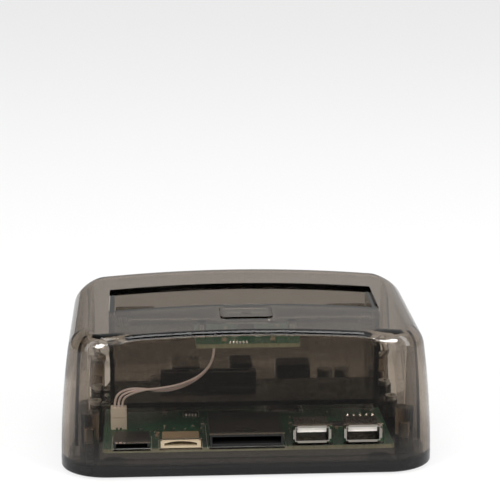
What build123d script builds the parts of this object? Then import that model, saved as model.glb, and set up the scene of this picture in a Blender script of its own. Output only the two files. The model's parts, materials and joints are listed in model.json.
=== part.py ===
from build123d import *
import math
import os

os.makedirs("parts", exist_ok=True)

# Lengths are in millimetres. X runs to the right, Y away from the front, Z up.
# Heights are counted from the tray's underside, and each piece is lifted by the feet when it is written.

# The 3.5 inch and 2.5 inch units that the bay takes
unit_width = 101.6
unit_thickness = 26.1
small_unit_width = 69.85
small_unit_thickness = 9.5
unit_play = 0.4

# Clearances and cuts
overrun = 4.0
seat_gap = 0.25
slide_gap = 0.3
pin_gap = 0.05

# Disk bay
bay_side_wall = 1.8
bay_end_wall = 1.5
bay_floor = 2.0
bay_skirt = 1.3
bay_above_board = 5.5
bay_rim_drop = 1.2
flap_room = 3.4

# Body: the room that it leaves beside, before and behind the disk bay, and its own sizes
side_room = 19.0
front_room = 31.4
back_room = 28.3
wall = 2.5
corner_radius = 18.4
front_height = 56.8
top_rise = 4.2
crown_radius = 650.0
side_curve_radius = 325.0
shoulder_radius = 9.4
face_shoulder_radius = 6.0
front_ridge_radius = 3.0
back_ridge_radius = 8.4
parting_height = 4.2

# Tray
tray_floor = 2.2
tray_edge_round = 0.8
lip_height = 2.2
lip_wall = 1.2
foot_radius = 5.0
foot_thickness = 1.8
foot_proud = 0.8
foot_places_share = (0.72, 0.68)

# Main board
board_width_share = 0.77222
board_end_gap = 0.2
board_thickness = 1.6
board_corner = 1.5
standoff_height = 7.1
standoff_radius = 3.0

# Screws: head radius, head height, shank radius
screw_head_radius = 2.6
screw_head = 1.6
screw_radius = 1.3
small_head_radius = 1.7
small_head = 1.1
small_radius = 0.85
screw_hole_play = 0.3
screw_bite = 6.0
slot_width_share = 0.3
slot_depth_share = 0.45

# Case bosses in the four corners, each on a web as tall as the shell's corner, and the bay's posts
boss_radius = 3.6
boss_joint_height = 11.0
boss_height = 12.0
boss_web = 1.6
boss_corner_share = 0.62
post_radius = 3.2
post_gap = 0.7
bay_post_places_share = (0.22, 0.84)

# Slot flap, its pin and springs
flap_thickness = 1.4
flap_below_top = 8.1
flap_pin_radius = 0.8
flap_barrel_radius = 1.5
flap_pin_setback = 1.3
flap_corner = 1.0
flap_heel = 1.8
flap_heel_share = (0.42, 0.78)
flap_stop_depth = 0.7
spring_wire = 0.5
spring_radius = 1.6
spring_pitch = 1.0
spring_turns = 4
spring_fixed_leg = 3.0
spring_free_leg = 6.7
spring_end_room = 1.2

# Top button
button_width = 20.5
button_depth = 15.0
button_behind_front = 17.0
button_corner = 2.5
button_proud = 0.4
button_plate = 2.2
button_skirt_wall = 1.2
button_flange = 1.2
button_flange_height = 1.0
button_travel = 0.8
button_stem_radius = 1.8

# Button board, hung below the top
button_board_half = 19.8
button_board_front = 7.0
button_board_depth = 22.0
button_board_thickness = 1.6
button_board_drop = 6.5
button_screw_inset = 2.6
button_screw_setback = 9.1
switch_body = 6.0
switch_height = 3.5
plunger_radius = 1.6
plunger_top = 1.15
plunger_inside = 0.8
lamp_size = (2.2, 1.3, 0.7)
lamp_places_share = (-0.25, 0.21)
lamp_setback = 7.2

# Wires from the button board to the plug on the main board
wire_diameter = 0.9
wire_pitch = 1.5
wire_behind_edge = 2.5
wire_board_share = -0.652
wire_bend_share = 0.45
wire_way_shares = (
    (0, 0, 0),
    (0, 0, 0.165),
    (0.12, 0.148, 0.415),
    (0.327, 0.412, 0.607),
    (0.543, 0.665, 0.710),
    (0.737, 0.865, 0.734),
    (0.897, 0.982, 0.786),
    (1, 1, 0.875),
    (1, 1, 1),
)
wire_spread_shares = (
    (0.1, 1, 0),
    (0.1, 1, -0.1),
    (0.15, 0.95, -0.35),
    (0.2, 0.75, -0.6),
    (0.15, 0.72, -0.7),
    (0, 0.98, -0.1),
    (-0.35, 0.6, 0.6),
    (-1, 0, 0.45),
    (-1, 0, 0),
)
plug_size = (6.2, 3.8, 3.8)
plug_neck = (5.0, 2.8, 3.2)
plug_ear = 0.5
header_size = (6.2, 4.4, 4.6)
plug_board_share = (-0.895, -0.412)
header_notch = 0.7

# SATA connector
sata_size = (39.0, 5.2)
sata_offset = -13.6
sata_behind_front = 23.1
sata_above_floor = 5.0
sata_floor_play = 0.6
sata_slot_depth = 4.2
sata_slot_width = 2.4
sata_contact_counts = (7, 15)
sata_slot_places = (-12.4, 7.0)
sata_pin_pitch = 1.27
sata_contact = (0.7, 0.35)
sata_foot = 2.5

# Front sockets: centres are shares of the board's half width
socket_face = 2.0
usb_face = 1.0
cut_play = 0.4
micro_share = -0.801
micro_size = (13.5, 14.5, 2.4)
micro_opening = (11.9, 1.6)
micro_sheet = 0.3
mini_share = -0.467
mini_size = (14.0, 10.0, 3.5)
mini_flange = (15.3, 2.2, 2.7)
mini_opening = (12.4, 1.1)
mini_sill = 0.8
mini_groove = (9.6, 0.5, 0.4)
mini_arch = 0.8
sd_share = -0.0153
sd_size = (27.9, 28.0, 5.1)
sd_opening = (26.3, 2.8)
sd_sill = 1.2
sd_sheet = 0.4
sd_tab = (8.4, 5.0, 0.35)
usb_shares = (0.432, 0.782)
usb_size = (13.1, 14.0, 5.7)
usb_sheet = 0.3
usb_lip = (14.5, 0.35, 6.8)
usb_lip_relief = 1.0
usb_centre_above_board = 4.7
usb_tongue = (11.1, 9.0, 1.8)
usb_tongue_drop = 0.55
usb_base = 2.5
usb_contact = (1.1, 6.5, 0.25)
usb_contact_pitch = 2.4

# Rear sockets
rear_face = 0.9
usb_b_share = -0.4
usb_b_size = (12.0, 16.0, 10.8)
usb_b_opening = (8.5, 7.8)
usb_b_bevel = 2.0
usb_b_tongue = (5.6, 3.2, 8.5)
usb_b_cavity = 9.0
inlet_share = 0.02
inlet_size = (9.0, 13.0, 11.0)
inlet_bore = 3.2
inlet_pin = 1.0
inlet_depth = 9.0
inlet_pin_short = 1.0
switch_share = 0.42
housing_size = (14.0, 11.0, 9.4)
rocker_room = (10.4, 6.4, 7.5)
rocker_half = 4.5
rocker_height = 6.0
rocker_edge = 2.9
rocker_middle = 2.2
rocker_heel = 2.0
rocker_tilt = 8.0
rocker_stub_radius = 0.8
rocker_stub = 0.9
rocker_setback = 3.8

# Parts on the main board: width, depth, height, and centres as shares of the board's half sizes
bridge_chip = (12.0, 12.0, 1.4)
bridge_chip_share = (0.30, 0.10)
card_chip = (7.0, 7.0, 1.2)
card_chip_share = (-0.10, -0.14)
memory_chip = (5.0, 4.0, 1.5)
memory_chip_share = (-0.38, -0.06)
chip_stand = 0.15
crystal_size = (10.6, 4.2, 3.4)
crystal_shares = ((-0.55, 0.14), (0.60, 0.20))
coil_size = (8.0, 8.0, 4.0)
coil_share = (0.72, 0.56)
coil_round = 1.2
can_radius = 3.15
can_height = 7.4
can_base = 0.9
can_shares = ((0.66, 0.82), (0.79, 0.82), (-0.62, 0.62))
bead_size = (6.0, 2.6, 1.4)
bead_share = (0.642, -0.452)
joint_count = 5
joint_pitch = 2.5
joint_start_share = (0.745, -0.232)
joint_foot = 0.9
joint_tip = 0.3
joint_height = 1.4

# Places worked out from the sizes above
bay_inner_half = unit_width / 2 + unit_play
bay_half = bay_inner_half + bay_side_wall
bay_depth = bay_end_wall + flap_room + unit_thickness + 2 * unit_play + bay_end_wall
half_width = bay_half + side_room
half_depth = (front_room + bay_depth + back_room) / 2
front = -half_depth
back = half_depth
top_slope = top_rise / (back - front)

bay_front = front + front_room
bay_back = bay_front + bay_depth
bay_inner_front = bay_front + bay_end_wall
bay_inner_back = bay_back - bay_end_wall
unit_front = bay_inner_front + flap_room + unit_play

board_half = half_width * board_width_share
board_front = front + wall + board_end_gap
board_back = back - wall - board_end_gap
board_half_depth = (board_back - board_front) / 2
board_bottom = tray_floor + standoff_height
board_top = board_bottom + board_thickness
bay_bottom = board_top + bay_above_board
bay_floor_top = bay_bottom + bay_skirt + bay_floor

slot_half = bay_half + seat_gap
slot_front = unit_front - bay_end_wall
slot_back = bay_back + seat_gap

boss_x = half_width - corner_radius * boss_corner_share
boss_y = half_depth - corner_radius * boss_corner_share
post_x = board_half + post_gap + post_radius
post_ys = [bay_front + bay_depth * share for share in bay_post_places_share]

button_front = front + button_behind_front
button_y = button_front + button_depth / 2
button_board_top = front_height - button_board_drop
button_board_bottom = button_board_top - button_board_thickness
button_board_y = front + button_board_front + button_board_depth / 2
button_screw_x = button_board_half - button_screw_inset
button_screw_y = front + button_board_front + button_screw_setback

flap_y = unit_front - flap_pin_setback - unit_play
flap_z = front_height + top_slope * (flap_y - front) - flap_below_top
flap_length = bay_inner_back - slide_gap - flap_y
spring_outer_x = bay_inner_half - spring_end_room
spring_span = spring_pitch * (spring_turns + 1 / 4)
barrel_half = spring_outer_x - spring_span - spring_end_room


def top_at(y):
    """Height of the top on its middle line."""
    return front_height + top_slope * (y - front)


def block(x0, x1, y0, y1, z0, z1):
    """Box given by its faces."""
    size = Box(x1 - x0, y1 - y0, z1 - z0)
    return Pos((x0 + x1) / 2, (y0 + y1) / 2, (z0 + z1) / 2) * size


def slab(size, x, y0, z0):
    """Box of (width, depth, height), centred on x, reaching back from y0 and up from z0."""
    return block(x - size[0] / 2, x + size[0] / 2, y0, y0 + size[1], z0, z0 + size[2])


def rod(x, y, z0, z1, radius):
    """Upright cylinder."""
    return Pos(x, y, (z0 + z1) / 2) * Cylinder(radius, z1 - z0)


def rod_x(x0, x1, y, z, radius):
    """Cylinder along X."""
    return Pos((x0 + x1) / 2, y, z) * Rot(0, 90, 0) * Cylinder(radius, x1 - x0)


def rod_y(x, y0, y1, z, radius):
    """Cylinder along Y."""
    return Pos(x, (y0 + y1) / 2, z) * Rot(90, 0, 0) * Cylinder(radius, y1 - y0)


def circles_meet(c1, r1, c2, r2):
    """Upper right point where two circles meet."""
    dx, dz = c2[0] - c1[0], c2[1] - c1[1]
    apart = math.hypot(dx, dz)
    along = (r1**2 - r2**2 + apart**2) / (2 * apart)
    off = math.sqrt(r1**2 - along**2)
    found = []
    for side in (1, -1):
        x = c1[0] + (along * dx + side * off * dz) / apart
        z = c1[1] + (along * dz - side * off * dx) / apart
        found.append((x, z))
    return max(found, key=sum)


def on_circle(centre, radius, toward):
    """Point of a circle in the direction of another point."""
    scale = radius / math.hypot(toward[0] - centre[0], toward[1] - centre[1])
    return (centre[0] + (toward[0] - centre[0]) * scale, centre[1] + (toward[1] - centre[1]) * scale)


def halfway(p, q):
    return ((p[0] + q[0]) / 2, (p[1] + q[1]) / 2)


def body_section(y, half, height, shoulder, inset):
    """Upright face across the body: curved sides, shoulders and a crowned top, all tangent."""
    side_r, crown_r, round_r = side_curve_radius - inset, crown_radius - inset, shoulder - inset
    side_c, crown_c = (half - side_r, 0), (0, height - crown_r)
    round_c = circles_meet(side_c, side_r - round_r, crown_c, crown_r - round_r)
    low = (half, 0)
    turn_in = on_circle(side_c, side_r, round_c)
    turn_out = on_circle(crown_c, crown_r, round_c)
    side_mid = on_circle(side_c, side_r, halfway(low, turn_in))
    round_mid = on_circle(round_c, round_r, halfway(turn_in, turn_out))

    def right(p):
        return (p[0], y, p[1])

    def left(p):
        return (-p[0], y, p[1])

    edges = [
        ThreePointArc(right(low), right(side_mid), right(turn_in)),
        ThreePointArc(right(turn_in), right(round_mid), right(turn_out)),
        ThreePointArc(right(turn_out), (0, y, height), left(turn_out)),
        ThreePointArc(left(turn_out), left(round_mid), left(turn_in)),
        ThreePointArc(left(turn_in), left(side_mid), left(low)),
        Line(left(low), right(low)),
    ]
    return Face(Wire(edges))


def end_station(inset, angle, ridge_radius, side):
    """Place and sizes of one section in the rounded front (side -1) or back (side 1)."""
    turn = math.radians(angle)
    radius = corner_radius - inset
    into = radius * (1 - math.cos(turn))
    y = side * (half_depth - inset - into)
    half = half_width - inset - radius + radius * math.sin(turn)
    ridge = max(ridge_radius - inset, seat_gap)
    fall = ridge - math.sqrt(ridge**2 - (ridge - into) ** 2) if into < ridge else 0
    shoulder = face_shoulder_radius + (shoulder_radius - face_shoulder_radius) * math.sin(turn)
    return (y, half, top_at(y) - inset - fall, shoulder)


def body_form(inset):
    """Whole outer form of the body, drawn in all round by inset."""
    angles = (0, 10, 20, 32, 45, 60, 75, 90)
    middle_shares = (-0.75, -0.4, 0, 0.4, 0.75)
    straight = half_depth - corner_radius
    stations = [end_station(inset, angle, front_ridge_radius, -1) for angle in angles]
    for share in middle_shares:
        y = straight * share
        stations.append((y, half_width - inset, top_at(y) - inset, shoulder_radius))
    for angle in reversed(angles):
        stations.append(end_station(inset, angle, back_ridge_radius, 1))
    return loft([body_section(*station, inset) for station in stations])


def below_top(drop):
    """Space under the crowned and sloping top, lowered by drop."""
    lean = math.degrees(math.atan(top_slope))
    drum = Pos(0, 0, -crown_radius) * Cylinder(crown_radius, 2 * (back - front), rotation=(90, 0, 0))
    return Pos(0, 0, top_at(0) - drop) * Rot(lean, 0, 0) * drum


outer_form = body_form(0)
inner_form = body_form(wall)


def corners():
    return [(sx * boss_x, sy * boss_y) for sx in (-1, 1) for sy in (-1, 1)]


def front_cut(x, width, z0, z1):
    """Opening through the front wall."""
    half = width / 2 + cut_play
    return block(x - half, x + half, front - overrun, front + wall + overrun, z0, z1)


def rear_cut(x, width, z0, z1):
    """Opening through the back wall."""
    half = width / 2 + cut_play
    return block(x - half, x + half, back - wall - overrun, back + overrun, z0, z1)


def port_x(share):
    return board_half * share


def port_cuts():
    """Openings for the front and rear sockets."""
    above = board_top - cut_play / 2
    cuts = [
        front_cut(port_x(micro_share), micro_size[0], above, board_top + micro_size[2] + cut_play),
        front_cut(port_x(mini_share), mini_flange[0], above, board_top + mini_size[2] + cut_play),
        front_cut(port_x(sd_share), sd_size[0], above, board_top + sd_size[2] + cut_play),
    ]
    usb_z = board_top + usb_centre_above_board
    reach = usb_lip[2] / 2 + cut_play
    for share in usb_shares:
        cuts.append(front_cut(port_x(share), usb_lip[0], usb_z - reach, usb_z + reach))
    rear_sockets = ((usb_b_share, usb_b_size), (inlet_share, inlet_size), (switch_share, housing_size))
    for share, size in rear_sockets:
        cuts.append(rear_cut(port_x(share), size[0], above, board_top + size[2] + cut_play))
    return cuts


def make_top_shell():
    tall = outer_form.bounding_box().max.Z + overrun
    wide = half_width + overrun
    above_parting = block(-wide, wide, front - overrun, back + overrun, parting_height, tall)
    shell = (outer_form & above_parting) - inner_form
    boss_top = boss_joint_height + boss_height
    bosses = [rod(x, y, boss_joint_height, boss_top, boss_radius) for x, y in corners()]
    for x, y in corners():
        web = block(0, corner_radius, -boss_web / 2, boss_web / 2, boss_joint_height, tall)
        bosses.append(Pos(x, y, 0) * Rot(0, 0, math.degrees(math.atan2(y / boss_y, x / boss_x))) * web)
    for side in (-1, 1):
        bosses.append(rod(side * button_screw_x, button_screw_y, button_board_top, tall, small_head_radius))
    carried = (Part() + bosses) & body_form(wall / 2)
    shell = shell + carried
    holes = [
        rod(x, y, boss_joint_height - overrun, boss_joint_height + screw_bite, screw_radius + pin_gap)
        for x, y in corners()
    ]
    pilot = button_board_top + button_board_drop / 2
    for side in (-1, 1):
        holes.append(
            rod(side * button_screw_x, button_screw_y, button_board_bottom, pilot, small_radius + pin_gap)
        )
    slot = block(-slot_half, slot_half, slot_front, slot_back, board_top, tall)
    button = Pos(0, button_y, 0) * extrude(button_outline(0), tall)
    return shell - slot - button - port_cuts() - holes


def button_outline(inset):
    """Rounded rectangle of the button's hole, drawn in by inset."""
    return RectangleRounded(button_width - 2 * inset, button_depth - 2 * inset, button_corner - inset)


def tray_block(inset, z0, z1):
    """Block with the tray's rounded outline, drawn in by inset."""
    outline = RectangleRounded(2 * (half_width - inset), 2 * (half_depth - inset), corner_radius - inset)
    return Pos(0, 0, z0) * extrude(outline, z1 - z0)


def make_base_tray():
    tray = tray_block(0, 0, parting_height)
    tray = fillet(tray.edges().group_by(Axis.Z)[0], tray_edge_round)
    lip_inset = wall + seat_gap
    lip_top = parting_height + lip_height
    tray = tray + tray_block(lip_inset, tray_floor, lip_top)
    tray = tray - tray_block(lip_inset + lip_wall, tray_floor, lip_top + overrun)
    for x, y in corners():
        tray = tray + rod(x, y, tray_floor / 2, boss_joint_height, boss_radius)
    for x, y in board_screw_places():
        tray = tray + rod(x, y, tray_floor / 2, board_bottom, standoff_radius)
    for side in (-1, 1):
        for y in post_ys:
            tray = tray + rod(side * post_x, y, tray_floor / 2, bay_bottom, post_radius)
    for x, y in corners():
        tray = tray - rod(x, y, -overrun, boss_joint_height + overrun, screw_radius + screw_hole_play)
        tray = tray - rod(x, y, -overrun, screw_head + seat_gap, screw_head_radius + screw_hole_play)
    for x, y in foot_places():
        tray = tray - rod(x, y, -overrun, foot_thickness - foot_proud, foot_radius + pin_gap)
    for x, y in board_screw_places():
        tray = tray - rod(x, y, board_bottom - screw_bite, board_bottom + overrun, screw_radius + pin_gap)
    for side in (-1, 1):
        for y in post_ys:
            low, high = bay_bottom - screw_bite, bay_bottom + overrun
            tray = tray - rod(side * post_x, y, low, high, screw_radius + pin_gap)
    return tray


def foot_places():
    x, y = half_width * foot_places_share[0], half_depth * foot_places_share[1]
    return [(sx * x, sy * y) for sx in (-1, 1) for sy in (-1, 1)]


def make_feet():
    return [rod(x, y, -foot_proud, foot_thickness - foot_proud, foot_radius) for x, y in foot_places()]


def screw(x, y, z, head_radius, head, shank_radius, length, up):
    """Pan head screw with a cross slot: its head's seat is at z, and up is 1 where the head is on top."""
    near, far = sorted((z, z + up * head))
    low, high = sorted((z, z - up * length))
    body = rod(x, y, near, far, head_radius) + rod(x, y, low, high, shank_radius)
    slot_width, slot_depth = head_radius * slot_width_share, head * slot_depth_share
    top = z + up * head
    low, high = sorted((top + up * slot_depth, top - up * slot_depth))
    arm = head_radius / 2
    body = body - block(x - arm, x + arm, y - slot_width / 2, y + slot_width / 2, low, high)
    return body - block(x - slot_width / 2, x + slot_width / 2, y - arm, y + arm, low, high)


def make_case_screws():
    length = boss_joint_height + screw_bite - screw_head - 2 * seat_gap
    seat = screw_head + seat_gap
    return [screw(x, y, seat, screw_head_radius, screw_head, screw_radius, length, -1) for x, y in corners()]


def board_screw_places():
    """Four places inside the board's edges: two behind the bay's front, two near the rear edge."""
    x = board_half - standoff_radius - 2 * board_thickness / 2
    y_front = bay_front + bay_depth / 2
    y_back = board_back - 2 * standoff_radius
    return [(side * x, y) for side in (-1, 1) for y in (y_front, y_back)]


def make_board_screws():
    length = board_thickness + screw_bite - seat_gap
    places = board_screw_places()
    return [screw(x, y, board_top, screw_head_radius, screw_head, screw_radius, length, 1) for x, y in places]


def make_bay_screws():
    length = bay_skirt + screw_bite - seat_gap
    seat = bay_bottom + bay_skirt
    screws = []
    for side in (-1, 1):
        for y in post_ys:
            place = (side * post_x, y, seat)
            screws.append(screw(*place, screw_head_radius, screw_head, screw_radius, length, 1))
    return screws


def make_button_screws():
    length = button_board_thickness + button_board_drop / 2 - seat_gap
    screws = []
    for side in (-1, 1):
        place = (side * button_screw_x, button_screw_y, button_board_bottom)
        screws.append(screw(*place, small_head_radius, small_head, small_radius, length, -1))
    return screws


def ear(side, y):
    """Foot ear of the bay, with its round end on a post and a curved gusset up the bay's wall."""
    x_wall, x_end = bay_half - pin_gap, post_x
    inner, outer = sorted((side * x_wall, side * x_end))
    top = bay_bottom + bay_skirt
    plate = block(inner, outer, y - post_radius, y + post_radius, bay_bottom, top)
    plate = plate + rod(side * post_x, y, bay_bottom, top, post_radius)
    reach = post_x - bay_half - screw_head_radius - seat_gap
    rise = 2 * reach
    with_arc = Polyline((0, 0), (0, rise)) + ThreePointArc((0, rise), (reach / 3, rise / 3), (reach, 0))
    rib_face = make_face(with_arc + Line((reach, 0), (0, 0)))
    rib = extrude(Plane.XZ * rib_face, bay_side_wall / 2, both=True)
    if side < 0:
        rib = mirror(rib, Plane.YZ)
    plate = plate + Pos(side * x_wall, y, top) * rib
    return plate - rod(side * post_x, y, bay_bottom - overrun, top + overrun, screw_radius + screw_hole_play)


def make_bay_frame():
    tall = outer_form.bounding_box().max.Z + overrun
    tube = block(-bay_half, bay_half, bay_front, bay_back, bay_bottom, tall)
    nested = block(-bay_half, bay_half, slot_front + seat_gap, bay_back, bay_bottom, tall)
    under = block(-bay_half, bay_half, bay_front, slot_front + seat_gap, bay_bottom, tall)
    frame = (tube & nested & below_top(bay_rim_drop)) + (tube & under & below_top(wall + slide_gap))
    inner = bay_inner_half
    frame = frame - block(-inner, inner, bay_inner_front, bay_inner_back, bay_floor_top, tall)
    under_floor = bay_floor_top - bay_floor
    frame = frame - block(-inner, inner, bay_inner_front, bay_inner_back, bay_bottom - overrun, under_floor)
    sata_half = sata_size[0] / 2 + sata_floor_play
    sata_front = sata_y() - sata_size[1] / 2 - sata_floor_play
    sata_back = sata_y() + sata_size[1] / 2 + sata_floor_play
    x = sata_offset
    frame = frame - block(x - sata_half, x + sata_half, sata_front, sata_back, bay_bottom, tall)
    frame = frame - rod_x(-bay_half - overrun, bay_half + overrun, flap_y, flap_z, flap_pin_radius + pin_gap)
    button_half = button_width / 2 + button_flange + slide_gap
    button_low = top_at(button_front) - wall - seat_gap - button_flange_height - button_travel - slide_gap
    button_way = block(-button_half, button_half, bay_front - overrun, bay_inner_front, button_low, tall)
    frame = frame - (button_way & below_top(wall))
    for side in (-1, 1):
        frame = frame + stop_ledge(side)
        for y in post_ys:
            frame = frame + ear(side, y)
    return frame


def heel_span(side, inset):
    """X range of a flap's heel and of the ledge that stops it."""
    edges = [side * barrel_half * share for share in flap_heel_share]
    low, high = min(edges), max(edges)
    return low + inset, high - inset


def stop_ledge(side):
    """Ledge on the bay's front wall that the flap's heel rests on when it is closed."""
    x0, x1 = heel_span(side, 0)
    top = flap_z - flap_thickness / 2 - pin_gap
    y1 = bay_inner_front + flap_stop_depth
    return block(x0, x1, bay_inner_front - pin_gap, y1, top - flap_thickness, top)


def make_slot_flap():
    half = bay_inner_half - unit_play
    z0, z1 = flap_z - flap_thickness / 2, flap_z + flap_thickness / 2
    far = flap_y + flap_length
    plate = block(-half, half, flap_y, far, z0, z1)
    plate = fillet(plate.edges().filter_by(Axis.Z).group_by(Axis.Y)[-1], flap_corner)
    notch_half = small_unit_width / 2 + unit_play
    notch_front = bay_inner_back - small_unit_thickness - 2 * unit_play
    plate = plate - block(-notch_half, notch_half, notch_front, far + overrun, z0 - overrun, z1 + overrun)
    coil_room = spring_radius + spring_wire + seat_gap
    for side in (-1, 1):
        x0, x1 = sorted((side * (barrel_half + seat_gap), side * (half + overrun)))
        plate = plate - block(x0, x1, flap_y - overrun, flap_y + coil_room, z0 - overrun, z1 + overrun)
        x0, x1 = heel_span(side, slide_gap)
        plate = plate + block(x0, x1, flap_y - flap_heel, flap_y, z0, z1)
    plate = plate + rod_x(-barrel_half, barrel_half, flap_y, flap_z, flap_barrel_radius)
    return plate - rod_x(-half - overrun, half + overrun, flap_y, flap_z, flap_pin_radius + pin_gap)


def make_flap_pin():
    return rod_x(-bay_half, bay_half, flap_y, flap_z, flap_pin_radius)


def coil_point(side, turn):
    """Point and heading of the flap spring's coil after a number of turns from its outer end."""
    angle = math.pi + 2 * math.pi * turn
    x = side * (spring_outer_x - spring_pitch * turn)
    place = Vector(x, flap_y + spring_radius * math.cos(angle), flap_z + spring_radius * math.sin(angle))
    round_way = 2 * math.pi * spring_radius
    heading = Vector(-side * spring_pitch, -round_way * math.sin(angle), round_way * math.cos(angle))
    return place, heading.normalized()


def biarc(p0, t0, p1, t1):
    """Two tangent arcs from p0 to p1 with the headings t0 and t1."""
    span, turn = p1 - p0, t0 + t1
    a = 4 - turn.dot(turn)
    b = span.dot(turn)
    reach = (math.sqrt(b * b + a * span.dot(span)) - b) / a
    middle = (p0 + t0 * reach + p1 - t1 * reach) * (1 / 2)
    first = TangentArc(p0, middle, tangent=t0)
    return [first, TangentArc(middle, p1, tangent=(first % 1))]


def make_flap_spring(side):
    """Torsion spring: a leg up the front wall, four and a quarter turns, and a leg under the flap."""
    quarters = 4 * spring_turns + 1
    leg_rise = spring_radius - flap_thickness / 2 - spring_wire / 2 - pin_gap
    stops = [coil_point(side, quarter / 4) for quarter in range(quarters + 1)]
    stops.append(coil_point(side, quarters / 4 + math.asin(leg_rise / spring_free_leg) / (2 * math.pi)))
    start, end = stops[0][0], stops[-1][0]
    top = start - stops[0][1] * spring_fixed_leg
    edges = [Line(top, start)]
    for near, far in zip(stops, stops[1:]):
        edges += biarc(*near, *far)
    edges.append(Line(end, end + stops[-1][1] * spring_free_leg))
    path = Wire(edges)
    spring = sweep(Plane(top, z_dir=stops[0][1]) * Circle(spring_wire / 2), path)
    places = [coil_point(side, turn)[0] for turn in range(spring_turns + 1)]
    gap = min((far - near).length for near, far in zip(places, places[1:])) - spring_wire
    expected = math.pi * (spring_wire / 2) ** 2 * path.length
    print("spring", side, "least gap", round(gap, 2), "volume share", round(spring.volume / expected, 3))
    return spring


def make_top_button():
    tall = outer_form.bounding_box().max.Z + overrun
    underside = wall + seat_gap + button_flange_height
    cap = Pos(0, button_y, 0) * extrude(button_outline(seat_gap), tall)
    cap = cap & below_top(-button_proud)
    flange_back = bay_front - slide_gap
    flange_front = button_front - button_flange
    flange_half = button_width / 2 + button_flange
    flange = block(-flange_half, flange_half, flange_front, flange_back, board_top, tall)
    cap = cap + (flange & below_top(wall + seat_gap))
    cap = cap - below_top(underside)
    hollow = Pos(0, button_y, 0) * extrude(button_outline(seat_gap + button_skirt_wall), tall)
    cap = cap - (hollow & below_top(button_plate - button_proud))
    stem_foot = button_board_top + switch_height + plunger_top
    stem = rod(0, button_y, stem_foot, top_at(button_y) - button_plate / 2, button_stem_radius)
    return cap + stem


def make_switch_plunger():
    top = button_board_top + switch_height + plunger_top - pin_gap
    return rod(0, button_y, button_board_top + switch_height - plunger_inside, top, plunger_radius)


def make_tactile_switch():
    half = switch_body / 2
    z1 = button_board_top + switch_height
    body = block(-half, half, button_y - half, button_y + half, button_board_top, z1)
    body = chamfer(body.edges().filter_by(Axis.Z), seat_gap)
    floor = z1 - plunger_inside - button_travel - seat_gap
    return body - rod(0, button_y, floor, z1 + overrun, plunger_radius + pin_gap)


def make_button_board():
    board = Pos(0, button_board_y, button_board_bottom) * extrude(
        RectangleRounded(2 * button_board_half, button_board_depth, board_corner), button_board_thickness
    )
    for side in (-1, 1):
        x = side * button_screw_x
        low, high = button_board_bottom - overrun, button_board_top + overrun
        board = board - rod(x, button_screw_y, low, high, small_radius + screw_hole_play)
    return board


def make_lamps():
    y0 = front + button_board_front + lamp_setback - lamp_size[1] / 2
    return [slab(lamp_size, button_board_half * share, y0, button_board_top) for share in lamp_places_share]


def wire_route(index):
    """Corner points of one wire: index -1, 0 or 1 of three that cross over once on their way."""
    start_y = front + button_board_front + wire_behind_edge
    start = (button_board_half * wire_board_share, start_y, button_board_bottom)
    end = plug_place()
    points = []
    for way, spread in zip(wire_way_shares, wire_spread_shares):
        point = [a + (b - a) * share for a, b, share in zip(start, end, way)]
        points.append(tuple(p + index * wire_pitch * share for p, share in zip(point, spread)))
    return points


def make_wire(index):
    points = [Vector(*point) for point in wire_route(index)]
    radii = []
    for before, here, after in zip(points, points[1:], points[2:]):
        shorter = min((here - before).length, (after - here).length)
        half_turn = math.radians((here - before).get_angle(after - here)) / 2
        radii.append(wire_bend_share * shorter / math.tan(half_turn))
    path = FilletPolyline(*points, radius=radii)
    wire = sweep(Plane(points[0], z_dir=points[1] - points[0]) * Circle(wire_diameter / 2), path)
    expected = math.pi * (wire_diameter / 2) ** 2 * path.length
    print("wire", index, "radii", [round(radius, 1) for radius in radii])
    print("wire", index, "length", round(path.length, 1), "volume share", round(wire.volume / expected, 4))
    return wire


def plug_place():
    """Middle of the plug's top."""
    x = board_half * plug_board_share[0]
    y = board_half_depth * plug_board_share[1]
    return x, y, board_top + header_size[2] + seat_gap + plug_size[2]


def make_lead_plug():
    x, y, top = plug_place()
    shoulder = top - plug_size[2]
    plug = slab(plug_size, x, y - plug_size[1] / 2, shoulder)
    notch = plug_ear * 2
    for side in (-1, 1):
        x0, x1 = sorted((x + side * plug_size[0] / 2, x + side * (plug_size[0] / 2 - plug_ear)))
        plug = plug - block(x0, x1, y - overrun, y + overrun, top - notch, top - plug_ear)
    return plug + slab(plug_neck, x, y - plug_neck[1] / 2, shoulder - plug_neck[2])


def make_lead_header():
    x, y, top = plug_place()
    header = slab(header_size, x, y - header_size[1] / 2, board_top)
    room = (plug_neck[0] + 2 * seat_gap, plug_neck[1] + 2 * seat_gap, header_size[2])
    floor = board_top + header_size[2] - plug_neck[2]
    header = header - slab(room, x, y - room[1] / 2, floor)
    for side in (-1, 1):
        middle = x + side * wire_pitch / 2
        half = header_notch / 2
        notch = block(middle - half, middle + half, y - overrun, y, board_top, board_top + header_notch)
        header = header - notch
    return header


def make_main_board():
    size = RectangleRounded(2 * board_half, board_back - board_front, board_corner)
    board = Pos(0, (board_front + board_back) / 2, board_bottom) * extrude(size, board_thickness)
    for x, y in board_screw_places():
        low, high = board_bottom - overrun, board_top + overrun
        board = board - rod(x, y, low, high, screw_radius + screw_hole_play)
    return board


def sata_y():
    """Middle of the SATA connector, set back from where the unit's front face stands."""
    return unit_front + sata_behind_front - pin_gap


def sata_slot(count, x, grow):
    """Slot of the SATA connector for one group of contacts."""
    half = (count + 1) * sata_pin_pitch / 2 + grow
    top = bay_floor_top + sata_above_floor
    y = sata_y()
    centre = sata_offset + x
    y0, y1 = y - sata_slot_width / 2 - grow, y + sata_slot_width / 2 + grow
    return block(centre - half, centre + half, y0, y1, top - sata_slot_depth, top + overrun)


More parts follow.
